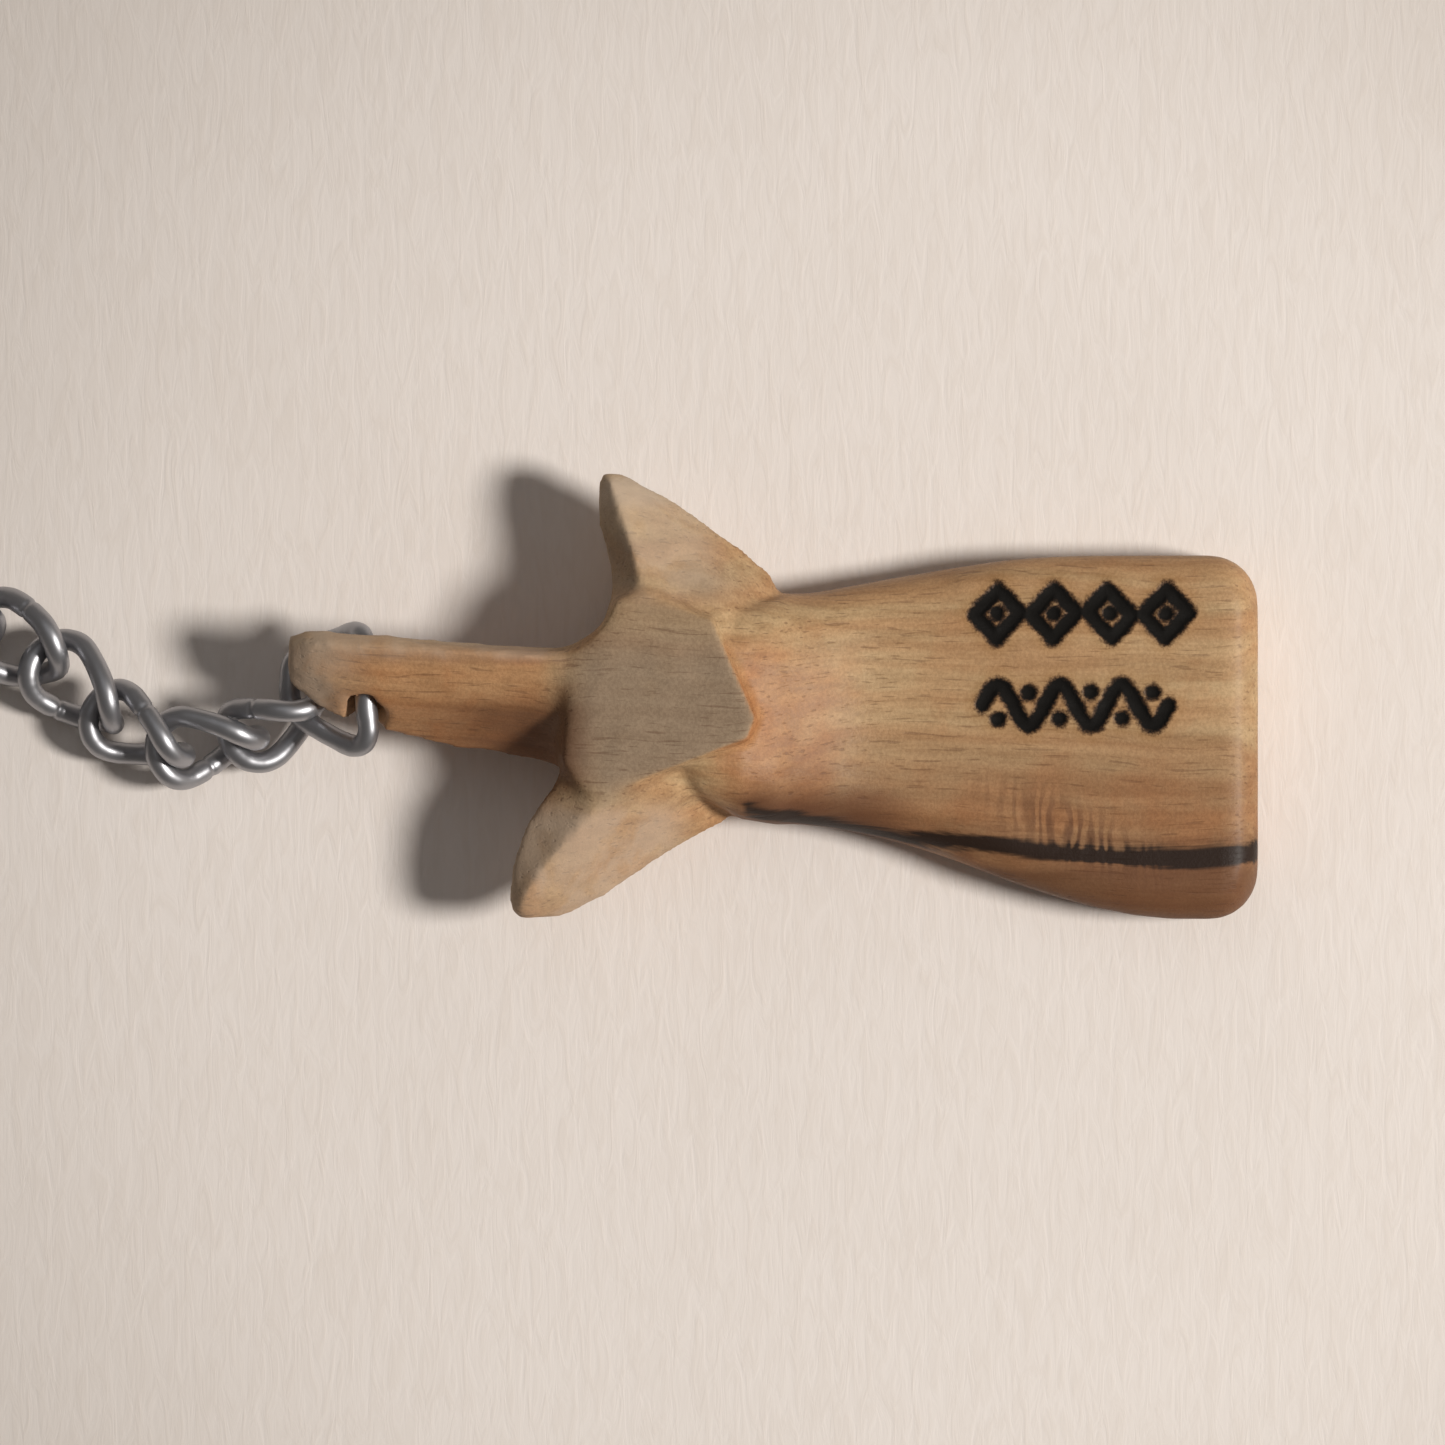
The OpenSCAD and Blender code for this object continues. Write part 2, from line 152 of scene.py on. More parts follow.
class Nodes:
    """Adds nodes to a tree; a value that is a socket is linked, any other is set."""

    def __init__(self, tree):
        self.tree = tree

    def add(self, kind, inputs=(), **settings):
        node = self.tree.nodes.new(kind)
        for key, value in settings.items():
            setattr(node, key, value)
        for key, value in dict(inputs).items():
            self.feed(node.inputs[key], value)
        return node

    def feed(self, socket, value):
        if isinstance(value, bpy.types.NodeSocket):
            self.tree.links.new(value, socket)
        else:
            socket.default_value = value

    def math(self, operation, a, b=0.0, clamp=False):
        return self.add("ShaderNodeMath", {0: a, 1: b}, operation=operation, use_clamp=clamp).outputs[0]

    def times(self, a, b):
        return self.math("MULTIPLY", a, b)

    def minus(self, a, b):
        return self.math("SUBTRACT", a, b)

    def plus(self, *parts):
        total = parts[0]
        for part in parts[1:]:
            total = self.math("ADD", total, part)
        return total

    def swing(self, value, amount):
        """A value from 0 to 1 turned into one from minus to plus half the amount."""
        return self.times(self.minus(value, 0.5), amount)

    def vector_math(self, operation, a, b):
        return self.add("ShaderNodeVectorMath", {0: a, 1: b}, operation=operation).outputs[0]

    def blend(self, factor, a, b, mode="MIX"):
        node = self.add("ShaderNodeMix", data_type="RGBA", blend_type=mode)
        self.feed(node.inputs[0], factor)
        self.feed(node.inputs[6], a)
        self.feed(node.inputs[7], b)
        return node.outputs[2]

    def step(self, value, low, high, out_low=0.0, out_high=1.0):
        """A soft step from out_low to out_high as value goes from low to high."""
        node = self.add("ShaderNodeMapRange", {0: value, 1: low, 2: high, 3: out_low, 4: out_high},
                        interpolation_type="SMOOTHSTEP")
        return node.outputs[0]

    def noise(self, vector, scale, detail=3.0, rough=0.55, distort=0.0):
        node = self.add("ShaderNodeTexNoise", {"Vector": vector, "Scale": scale, "Detail": detail,
                                               "Roughness": rough, "Distortion": distort})
        return node.outputs["Fac"]

    def stretched(self, vector, scale, turn=(0.0, 0.0, 0.0)):
        node = self.add("ShaderNodeMapping", {"Vector": vector, "Scale": scale, "Rotation": turn})
        return node.outputs[0]

    def attribute(self, name):
        return self.add("ShaderNodeAttribute", attribute_name=name)

    def number(self, name):
        return self.attribute(name).outputs["Fac"]

    def group(self, name, build, inputs):
        tree = bpy.data.node_groups.get(name) or build()
        return self.add("ShaderNodeGroup", inputs, node_tree=tree)

    def bump(self, height, strength, depth):
        node = self.add("ShaderNodeBump", {"Height": height, "Strength": strength, "Distance": depth})
        return node.outputs[0]


SOCKET_KINDS = {"Vector": "NodeSocketVector", "Place": "NodeSocketVector", "Turn": "NodeSocketVector",
                "Geometry": "NodeSocketGeometry", "Material": "NodeSocketMaterial"}    # others are numbers


def new_tree(kind, name, inputs, outputs):
    """A node group, with the sockets it is given and those it feeds; an input is a name and its default."""
    tree = bpy.data.node_groups.new(name, kind)
    for label, default in inputs.items():
        socket = tree.interface.new_socket(name=label, in_out="INPUT",
                                           socket_type=SOCKET_KINDS.get(label, "NodeSocketFloat"))
        if default is not None:
            socket.default_value = default
    for label in outputs:
        tree.interface.new_socket(name=label, in_out="OUTPUT",
                                  socket_type=SOCKET_KINDS.get(label, "NodeSocketFloat"))
    return Nodes(tree), tree.nodes.new("NodeGroupInput").outputs, tree.nodes.new("NodeGroupOutput").inputs


def mottle_group():
    """Uneven patches and fine specks, for wood and metal alike."""
    nodes, given, made = new_tree("ShaderNodeTree", "mottle", {
        "Vector": None, "Patch Scale": 120.0, "Speck Scale": 2500.0}, ("Patches", "Specks"))
    patches = nodes.noise(given["Vector"], given["Patch Scale"], 4.0, 0.6, 0.4)
    specks = nodes.noise(given["Vector"], given["Speck Scale"], 2.0, 0.7)
    nodes.feed(made["Patches"], nodes.step(patches, 0.36, 0.64))
    nodes.feed(made["Specks"], nodes.step(specks, 0.32, 0.68))
    return nodes.tree


def grain_group():
    """Long fibres along X that wander slightly, darker bands of late wood, and short open pores."""
    nodes, given, made = new_tree("ShaderNodeTree", "wood_grain", {
        "Vector": None, "Fibre Spacing": 900.0}, ("Fibres", "Rings", "Pores"))
    drift_room = nodes.stretched(given["Vector"], (30.0, 60.0, 60.0))
    drift = nodes.add("ShaderNodeTexNoise", {"Vector": drift_room, "Scale": 1.0, "Detail": 2.0})
    middled = nodes.vector_math("SUBTRACT", drift.outputs["Color"], (0.5, 0.5, 0.5))
    push = nodes.vector_math("MULTIPLY", middled, (0.0, 0.006, 0.006))
    wandering_place = nodes.vector_math("ADD", given["Vector"], push)
    fibre_room = nodes.vector_math("MULTIPLY", wandering_place, (0.055, 1.0, 1.0))
    fibres = nodes.noise(fibre_room, given["Fibre Spacing"], 3.0, 0.62)
    rings = nodes.noise(nodes.stretched(wandering_place, (8.0, 330.0, 210.0)), 1.0, 2.0, 0.5)
    pores = nodes.noise(nodes.stretched(wandering_place, (260.0, 3400.0, 3400.0)), 1.0, 1.0, 0.5)
    nodes.feed(made["Fibres"], nodes.step(fibres, 0.30, 0.70))
    nodes.feed(made["Rings"], nodes.step(rings, 0.36, 0.66))
    nodes.feed(made["Pores"], nodes.step(pores, 0.60, 0.74))
    return nodes.tree


def wear_group():
    """Rubbed edges and filled hollows, from a piece's convexity, broken up by uneven patches."""
    nodes, given, made = new_tree("ShaderNodeTree", "rubbed_edges", {
        "Convexity": 0.0, "Patches": 0.5}, ("Rubbed", "Hollow"))
    uneven = nodes.plus(given["Convexity"], nodes.swing(given["Patches"], 0.35))
    nodes.feed(made["Rubbed"], nodes.step(uneven, 0.12, 0.75))
    nodes.feed(made["Hollow"], nodes.step(uneven, -0.12, -0.8))
    return nodes.tree


def new_material(name):
    material = bpy.data.materials.new(name)
    material.use_nodes = True
    material.node_tree.nodes.clear()
    nodes = Nodes(material.node_tree)
    surface = nodes.add("ShaderNodeBsdfPrincipled")
    end = nodes.add("ShaderNodeOutputMaterial")
    material.node_tree.links.new(surface.outputs[0], end.inputs["Surface"])
    place = nodes.add("ShaderNodeTexCoord").outputs["Object"]
    return material, nodes, surface, place


def rgba(value):
    return (*value, 1.0)


def wood_marks(nodes, place):
    """The sockets of every pattern in the wood, by name."""
    grain = nodes.group("wood_grain", grain_group, {"Vector": place})
    mottle = nodes.group("mottle", mottle_group, {"Vector": place, "Patch Scale": 150.0,
                                                  "Speck Scale": 3600.0})
    wear = nodes.group("rubbed_edges", wear_group, {"Convexity": nodes.number("convexity"),
                                                    "Patches": mottle.outputs["Patches"]})
    zones = nodes.attribute("zones")
    colours = nodes.add("ShaderNodeSeparateColor", {"Color": zones.outputs["Color"]})
    marks = {socket.name: socket for node in (grain, mottle, wear) for socket in node.outputs}
    weathered_and_shade, warm, underside_shade = colours.outputs
    return marks | {"Weathered": weathered_and_shade, "Warm": warm, "Deep": underside_shade, "Ashen": zones.outputs["Alpha"]}


def bare_wood(nodes, look, marks):
    """Pale wood with warm and weathered zones, fibres, specks, pores, worn edges and dark hollows, plus
    painted shade (grey on left-facing sides, dark on the undersides) and a painted highlight on the long
    arm's upper edge.
    """
    patches, dark = marks["Patches"], rgba(look.dark)
    pale = nodes.blend(nodes.times(marks["Rings"], 0.42), rgba(look.tan), rgba(look.orange))
    warm = nodes.math("ADD", marks["Warm"], nodes.swing(patches, 0.40), clamp=True)
    base = nodes.blend(warm, pale, rgba(look.orange))
    # Grey: weathered wood on the flat face, and painted shade on the left-facing sides and beside the neck.
    weathered_and_shade = nodes.times(marks["Weathered"], nodes.step(patches, -0.9, 0.6, 0.72, 1.0))
    base = nodes.blend(weathered_and_shade, base, rgba(look.grey))
    fibre_tint = nodes.blend(marks["Fibres"], (0.80, 0.72, 0.64, 1.0), (1.10, 1.09, 1.06, 1.0))
    base = nodes.blend(nodes.step(marks["Weathered"], 0.0, 1.0, 0.85, 0.35), base, fibre_tint, "MULTIPLY")
    speck_tint = nodes.blend(marks["Specks"], (0.86, 0.85, 0.84, 1.0), (1.10, 1.11, 1.12, 1.0))
    base = nodes.blend(0.8, base, speck_tint, "MULTIPLY")
    base = nodes.blend(nodes.times(marks["Pores"], 0.38), base, dark)
    base = nodes.blend(nodes.times(marks["Rubbed"], 0.30), base, rgba(look.rubbed))
    base = nodes.blend(nodes.times(marks["Hollow"], 0.45), base, dark)
    # Pale rubbed wood, and a painted highlight along the long arm's upper edge.
    pale_and_highlight = nodes.times(marks["Ashen"], nodes.step(patches, -0.6, 0.8))
    base = nodes.blend(pale_and_highlight, base, rgba(look.pale_and_highlight))
    # Painted shade: the undersides darken towards the dark wood colour.
    return nodes.blend(marks["Deep"], base, dark)


def streaked(nodes, look, marks, place, base):
    """The dark streak with its curly figure, laid over the bare wood."""
    curl = nodes.add("ShaderNodeTexWave", {
        "Vector": nodes.stretched(place, (1.0, 0.34, 0.0)), "Scale": 290.0, "Distortion": 9.0,
        "Detail": 2.0, "Detail Scale": 1.6}).outputs["Fac"]
    curly = nodes.number("curly")
    gap = nodes.plus(nodes.number("streak_mm"), nodes.swing(marks["Fibres"], 0.5))
    gap = nodes.plus(gap, nodes.times(nodes.times(nodes.minus(curl, 0.35), 0.55), curly))
    figure = nodes.times(nodes.times(nodes.step(curl, 0.75, 0.15), curly), 0.68)
    base = nodes.blend(figure, base, rgba(look.dark))
    base = nodes.blend(nodes.step(gap, 1.6, 0.1, 0.0, 0.42), base, rgba(look.dark))
    return nodes.blend(nodes.step(gap, 0.45, -0.15), base, rgba(look.streak))


def burnt(nodes, look, marks, base):
    """The burnt strokes with their scorched rims and toasted halos; gives the colour and the char."""
    gap = nodes.plus(nodes.number("burn_mm"), nodes.swing(marks["Specks"], 0.16),
                     nodes.swing(marks["Fibres"], 0.14))
    charred = nodes.step(gap, 0.14, -0.14)
    base = nodes.blend(nodes.step(gap, 1.5, 0.15, 0.0, 0.34), base, rgba(look.toasted))
    base = nodes.blend(nodes.step(gap, 0.42, -0.02, 0.0, 0.93), base, rgba(look.scorched))
    return nodes.blend(charred, base, rgba(look.char)), charred


def carved_wood(look):
    """Oiled, whittled wood: grain, warm and weathered zones, painted shade on the sides turned from the
    light, a painted highlight on the long arm's upper edge, a dark streak, and a burnt ornament.
    """
    material, nodes, surface, place = new_material("carved_wood")
    marks = wood_marks(nodes, place)
    base = streaked(nodes, look, marks, place, bare_wood(nodes, look, marks))
    base, charred = burnt(nodes, look, marks, base)
    nodes.feed(surface.inputs["Base Color"], base)

    rough = nodes.plus(look.gloss, nodes.times(marks["Fibres"], 0.10),
                       nodes.times(marks["Weathered"], 0.26), nodes.times(charred, 0.28))
    rough = nodes.math("ADD", rough, nodes.times(marks["Patches"], 0.10), clamp=True)
    nodes.feed(surface.inputs["Roughness"], rough)
    surface.inputs["Specular IOR Level"].default_value = 0.20
    dry = nodes.math("MAXIMUM", marks["Weathered"], charred)
    nodes.feed(surface.inputs["Coat Weight"], nodes.times(nodes.minus(1.0, dry), 0.04))
    surface.inputs["Coat Roughness"].default_value = 0.30

    crust = nodes.times(nodes.noise(place, 2600.0, 3.0, 0.6), charred)
    height = nodes.minus(nodes.times(marks["Fibres"], 0.35), nodes.times(marks["Pores"], 0.5))
    height = nodes.plus(height, nodes.times(marks["Specks"], 0.18), nodes.times(crust, 0.9))
    nodes.feed(surface.inputs["Normal"], nodes.bump(height, 0.42, 0.12 * MM))
    return material


def worn_steel(name, clean, dull, dullness, rough):
    """Steel wire: dull film in the hollows, rubbed bright on the outside, fine draw lines and pits."""
    if name in bpy.data.materials:
        return bpy.data.materials[name]
    material, nodes, surface, place = new_material(name)
    mottle = nodes.group("mottle", mottle_group, {"Vector": place, "Patch Scale": 420.0,
                                                  "Speck Scale": 5200.0})
    patches, specks = mottle.outputs["Patches"], mottle.outputs["Specks"]
    wear = nodes.group("rubbed_edges", wear_group, {"Convexity": nodes.number("outside"),
                                                    "Patches": patches})
    film = nodes.times(nodes.step(patches, 0.0, 1.0, 1.0, 0.45), dullness)
    film = nodes.math("MAXIMUM", film, nodes.times(wear.outputs["Hollow"], 0.95))
    film = nodes.math("SUBTRACT", film, nodes.times(wear.outputs["Rubbed"], 0.45), clamp=True)
    film = nodes.math("MAXIMUM", film, nodes.number("seam"))
    base = nodes.blend(film, rgba(clean), rgba(dull))
    base = nodes.blend(nodes.times(specks, 0.25), base, (0.11, 0.10, 0.10, 1.0))
    nodes.feed(surface.inputs["Base Color"], base)
    nodes.feed(surface.inputs["Metallic"], nodes.step(film, 0.0, 1.0, 1.0, 0.72))
    scratch_room = nodes.stretched(place, (900.0, 5200.0, 2600.0), (0.3, 0.5, 0.8))
    scratches = nodes.noise(scratch_room, 1.0, 2.0, 0.6)
    uneven = nodes.plus(nodes.times(film, 0.20), nodes.times(specks, 0.06), nodes.times(scratches, 0.08))
    nodes.feed(surface.inputs["Roughness"], nodes.math("ADD", uneven, rough, clamp=True))
    height = nodes.plus(nodes.times(patches, 0.5), nodes.times(specks, 0.35), nodes.times(scratches, 0.3))
    nodes.feed(surface.inputs["Normal"], nodes.bump(height, 0.35, 0.06 * MM))
    return material


# ---- carved fob ----

# Places and sizes on the fob's face, in millimetres from under the middle of the star.
STAR_FACE = ((-9.0, 4.2), (-6.0, 7.6), (-3.1, 8.8), (2.9, 7.0), (6.6, -1.7), (6.0, -3.4), (-3.9, -7.4),
             (-6.6, -8.8), (-10.2, -5.3))
STREAK = ((6.0, -9.6), (13.9, -11.2), (19.5, -12.1), (23.1, -12.3), (27.4, -12.5), (31.4, -13.1),
          (38.0, -13.6), (44.6, -13.8), (51.0, -13.2))
CURLY_FIGURE = (34.0, -11.4)             # middle of the curly figure beside the streak
ORNAMENT_ROOM = ((24.2, 45.8), (-3.6, 11.0), (7.5, 20.0))    # along, across and up, round both rows
DIAMONDS = (27.7, 32.6, 37.5, 42.4)      # middles of the diamonds in the upper row
DIAMOND_Y, DIAMOND_REACH = 7.5, (1.95, 2.15)
WAVE_START, WAVE_END, WAVE_Y = 26.4, 42.6, -0.5
WAVE_HEIGHT, WAVE_LENGTH = 1.75, 5.4
WAVE_STEPS = 60
BEND_DOT_REACH = 1.15                    # from the wave's middle line to the dots in its bends
DOT = 0.05                               # half the length of a dot, which is a very short stroke
FAR = 99.0                               # the gap of a point with no stroke near it

# Soft patches of colour on the wood, among them painted shade and a painted highlight: strength, then for
# each measure where it begins and is full. A name that ends in _end is the measure's other side.
# Painted shade: grey on the arms' sides that face left, away from the light.
LEFT_SIDE_SHADE_PATCHES = (
    (0.55, {"x": (-3.0, -9.0), "nx": (0.2, -0.5), "y": (-6.0, -9.0)}),           # lower arm's left side
    (0.50, {"y": (8.0, 11.0), "nx": (-0.2, -0.7), "x": (4.0, 1.0)}))             # upper arm's left side
WARM_PATCHES = (
    (0.85, {"x": (1.0, 6.5), "x_end": (19.0, 8.0), "y": (7.0, 1.0)}),            # neck
    (0.60, {"y": (-3.0, -11.0), "x": (10.0, 16.0)}),                             # tab's lower half
    (0.70, {"x": (-9.0, -13.0), "y": (5.2, 4.0)}),                               # long arm
    (0.45, {"y": (-8.0, -12.0), "x": (2.0, -3.0)}))                              # lower arm
# Painted shade: the neck's underside, the long arm's lower side, the wood below the streak and the tab's
# lower half, darkened as if turned from the light.
UNDERSIDE_SHADE_PATCHES = (
    (0.85, {"y": (-5.6, -9.4), "x": (3.0, 7.0), "x_end": (26.0, 15.0)}),         # under the neck
    (0.72, {"y": (1.4, -1.6), "x": (-6.5, -10.0), "x_end": (-28.0, -13.0),
            "y_end": (-9.5, -6.0)}),                                             # long arm's lower side
    (0.80, {"y": (-13.0, -15.4), "x": (18.0, 28.0)}),                            # below the streak
    (0.30, {"y": (0.0, -8.0), "x": (7.0, 10.0)}))                                # tab, towards the streak
# Pale rubbed wood on the arms and their tips, and a painted highlight along the long arm's upper edge.
PALE_AND_HIGHLIGHT_PATCHES = (
    (0.75, {"x": (-26.0, -32.0)}),                                               # long arm's tip
    # Painted highlight along the long arm's upper edge.
    (0.55, {"y": (2.6, 4.4), "x": (-9.0, -12.0), "y_end": (8.0, 6.0)}),          # long arm's upper edge
    (0.50, {"y": (7.0, 12.0), "x": (5.0, 1.0)}),                                 # upper arm
    (0.80, {"y": (14.5, 18.0), "x": (3.0, -2.0)}),                               # upper arm's tip
    (0.60, {"y": (-8.0, -11.0), "x": (2.0, -2.0)}))                              # lower arm


def ramp(low, high, value):
    t = np.clip((value - low) / (high - low), 0.0, 1.0)
    return t * t * (3.0 - 2.0 * t)


def path_distance(points, path):
    """Distance from each (x, y) point to a line through the path's points."""
    nearest = np.full(len(points), 1e9)
    for a, b in zip(path, path[1:]):
        a, b = np.array(a, float), np.array(b, float)
        along = b - a
        t = np.clip((points - a) @ along / max(along @ along, 1e-9), 0.0, 1.0)
        nearest = np.minimum(nearest, np.linalg.norm(points - a - t[:, None] * along, axis=1))
    return nearest


def inside_polygon(points, polygon):
    """Distance to a polygon's edge, positive inside it."""
    inside = np.zeros(len(points), bool)
    x, y = points[:, 0], points[:, 1]
    corners = list(polygon) + [polygon[0]]
    for (x0, y0), (x1, y1) in zip(corners, corners[1:]):
        crosses = (y0 > y) != (y1 > y)
        inside ^= crosses & (x < (x1 - x0) * (y - y0) / ((y1 - y0) or 1e-9) + x0)
    return np.where(inside, 1.0, -1.0) * path_distance(points, corners)


def dot(x, y):
    return (x - DOT, y), (x + DOT, y)


def ornament_strokes():
    """The strokes of the burnt ornament: a row of diamonds with a dot in each, and a wave with dots."""
    across, up = DIAMOND_REACH
    strokes = []
    for k, x in enumerate(DIAMONDS):
        lean = 0.18 * math.sin(2.1 * k + 0.6)           # no two diamonds are quite alike
        left, right = (x - across, DIAMOND_Y - lean), (x + across, DIAMOND_Y + lean)
        strokes.append((left, (x + lean, DIAMOND_Y + up), right, (x - lean, DIAMOND_Y - up), left))
        strokes.append(dot(x, DIAMOND_Y))
    wave = []
    for i in range(WAVE_STEPS + 1):
        along = (WAVE_END - WAVE_START) * i / WAVE_STEPS
        wave.append((WAVE_START + along, WAVE_Y + WAVE_HEIGHT * math.sin(math.tau * along / WAVE_LENGTH)))
    strokes.append(wave)
    for k in range(round(2 * (WAVE_END - WAVE_START) / WAVE_LENGTH)):
        side = -1 if k % 2 == 0 else 1
        strokes.append(dot(WAVE_START + WAVE_LENGTH * (k + 0.5) / 2, WAVE_Y + side * BEND_DOT_REACH))
    return strokes


def wandering(points, scale, seed):
    """Smooth noise from -1 to 1 at each point; the points are in millimetres."""
    shift = Vector((seed * 17.3, seed * 5.1, seed * 9.7))
    return np.array([noise.noise(Vector(p) * scale + shift) for p in points])


def welded_copy(node, name):
    """A merged copy of a node's mesh, as a new object."""
    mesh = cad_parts[node].data.copy()
    mesh.name = name
    work = bmesh.new()
    work.from_mesh(mesh)
    bmesh.ops.remove_doubles(work, verts=work.verts, dist=WELD)
    work.to_mesh(mesh)
    work.free()
    piece = bpy.data.objects.new(name, mesh)
    bpy.context.scene.collection.objects.link(piece)
    return piece


def evaluated_mesh(piece):
    """Replaces the piece's mesh by what its modifiers make of it, and removes them."""
    bpy.context.view_layer.update()
    graph = bpy.context.evaluated_depsgraph_get()
    made = bpy.data.meshes.new_from_object(piece.evaluated_get(graph), preserve_all_data_layers=True,
                                           depsgraph=graph)
    piece.modifiers.clear()
    piece.data = made
    made.name = piece.name
    return made


def coordinates(mesh):
    flat = np.empty(len(mesh.vertices) * 3)
    mesh.vertices.foreach_get("co", flat)
    return flat.reshape(-1, 3)


def normals(mesh):
    flat = np.empty(len(mesh.vertices) * 3, np.float32)
    mesh.vertex_normals.foreach_get("vector", flat)
    return flat.reshape(-1, 3).astype(float)


def put(mesh, places):
    mesh.vertices.foreach_set("co", np.asarray(places, np.float32).ravel())
    mesh.update()


def edge_ends(mesh):
    flat = np.empty(len(mesh.edges) * 2, np.int64)
    mesh.edges.foreach_get("vertices", flat)
    return flat.reshape(-1, 2)


def averaged(places, ends, degree):
    total = np.zeros_like(places)
    for k in range(places.shape[1]):
        total[:, k] = (np.bincount(ends[:, 0], places[ends[:, 1], k], len(places))
                       + np.bincount(ends[:, 1], places[ends[:, 0], k], len(places)))
    return total / degree[:, None]


def smoothed(places, ends, rounds, outward):
    """Rounds of smoothing, each followed by a step back outward that saves some of the volume."""
    degree = np.bincount(ends.ravel(), minlength=len(places)).astype(float)
    for _ in range(rounds):
        for weight in (0.5, outward):
            places = places + weight * (averaged(places, ends, degree) - places)
    return places


def mixed(a, b, weight):
    return a + (b - a) * weight[:, None]


def refine_where(mesh, chosen):
    """Splits each face whose middle is chosen into four, with its neighbours fitted to it."""
    work = bmesh.new()
    work.from_mesh(mesh)
    middles = np.array([f.calc_center_median()[:] for f in work.faces]) / MM
    pick = chosen(middles)
    edges = {e for f, use in zip(work.faces, pick) if use for e in f.edges}
    bmesh.ops.subdivide_edges(work, edges=list(edges), cuts=1, use_grid_fill=True)
    bmesh.ops.triangulate(work, faces=[f for f in work.faces if len(f.verts) > 4])
    work.to_mesh(mesh)
    work.free()
    mesh.update()


def store(mesh, name, values, kind="FLOAT"):
    layer = mesh.attributes.new(name, kind, "POINT")
    if kind == "FLOAT":
        layer.data.foreach_set("value", np.asarray(values, np.float32))
    else:
        layer.data.foreach_set("color", np.asarray(values, np.float32).ravel())


def patched(measures, patches):
    """The strongest of the soft patches at each point."""
    strength = 0.0
    for amount, sides in patches:
        reach = amount
        for side, (begin, full) in sides.items():
            reach = reach * ramp(begin, full, measures[side.removesuffix("_end")])
        strength = np.maximum(strength, reach)
    return strength


def wood_zones(p, n):
    """How grey, how warm, how dark and how pale the wood is at each point, each from 0 to 1; the grey is
    weathered wood and painted shade on left-facing sides, the dark is painted shade on the undersides, and
    the pale is rubbed wood and a painted highlight on the long arm's upper edge.
    """
    x, y, z = p.T
    measures = {"x": x, "y": y, "nx": n[:, 0]}
    blur = 0.35 + 2.8 * ramp(1.0, -7.0, x)              # the star's face has a soft edge on its left
    face = ramp(-blur, blur * 0.6, inside_polygon(p[:, :2], STAR_FACE))
    face = face * ramp(0.55, 0.9, n[:, 2]) * ramp(12.0, 13.6, z) * (1.0 - 0.4 * ramp(2.5, 7.5, y))
    # Painted shade: a grey spot on the upper arm's right side, near the neck.
    painted_shade_spot = 0.62 * np.exp(-((x - 2.6) / 3.4) ** 2 - ((y - 10.2) / 1.7) ** 2)
    # The grey zone: the weathered face, the painted shade on the left sides and the painted shade spot.
    weathered_and_shade = np.maximum(np.maximum(face, patched(measures, LEFT_SIDE_SHADE_PATCHES)), painted_shade_spot)
    others = [patched(measures, patches) for patches in (WARM_PATCHES, UNDERSIDE_SHADE_PATCHES, PALE_AND_HIGHLIGHT_PATCHES)]
    return np.clip(np.stack([weathered_and_shade, *others], 1), 0.0, 1.0)


def soften(places, ends):
    """Rounds the neck, the arms and the star's left side."""
    x, y = places[:, 0] / MM, places[:, 1] / MM
    neck = ramp(7.5, 10.5, x) * ramp(30.0, 22.0, x)
    arms = 0.8 * ramp(1.5, -2.5, x)
    worn_side = 0.9 * np.exp(-((x + 7.5) / 4.2) ** 2 - ((y - 0.5) / 8.0) ** 2)
    places = mixed(places, smoothed(places, ends, 150, 0.0), neck)
    places = mixed(places, smoothed(places, ends, 22, -0.2), arms)
    return mixed(places, smoothed(places, ends, 80, 0.0), worn_side)


def knife_cuts(p, look):
    """How far the knife took the surface in, at each point; the back stays flat where it rests."""
    broad = np.abs(wandering(p, 0.17, 1)) + 0.5 * wandering(p, 0.34, 2)
    fine = ramp(0.0, 0.5, np.abs(wandering(p, 0.42, 3)))
    on_star = ramp(8.0, 2.0, p[:, 0]) * 0.8 + 0.2
    cut = look.knife * (0.5 + broad) * on_star + 0.05 * MM * fine * ramp(4.0, 0.0, p[:, 0])
    return cut * ramp(0.02, 0.6, p[:, 2])


def stroke_gaps(p, facing, look):
    """Distance from each point of the top to the edge of the nearest burnt stroke, negative in it."""
    flat = p[facing][:, :2]
    nearest = np.full(len(flat), FAR)
    for path in ornament_strokes():
        nearest = np.minimum(nearest, path_distance(flat, path))
    gaps = np.full(len(p), FAR)
    gaps[facing] = nearest - look.stroke / MM / 2 + 0.10 * wandering(p[facing], 0.9, 4)
    return gaps


def streak_gaps(p, n):
    """Distance from each point to the streak's edge, made larger where the wood faces down."""
    half_width = 0.42 + 0.34 * ramp(14.0, 44.0, p[:, 0])
    return path_distance(p[:, :2], STREAK) - half_width + 2.5 * ramp(0.3, -0.4, n[:, 2])


def curly_figure(p):
    """How strong the curly figure is at each point, in a slanting oval."""
    along = p[:, 0] - CURLY_FIGURE[0]
    slant = p[:, 1] - CURLY_FIGURE[1] + 0.42 * along
    return np.exp(-(along / 6.2) ** 2 - (slant / 2.3) ** 2)


def ornament_room(middles):
    """Which of the face middles lie in the ornament's room."""
    inside = [(middles[:, k] > low) & (middles[:, k] < high) for k, (low, high) in enumerate(ORNAMENT_ROOM)]
    return inside[0] & inside[1] & inside[2]


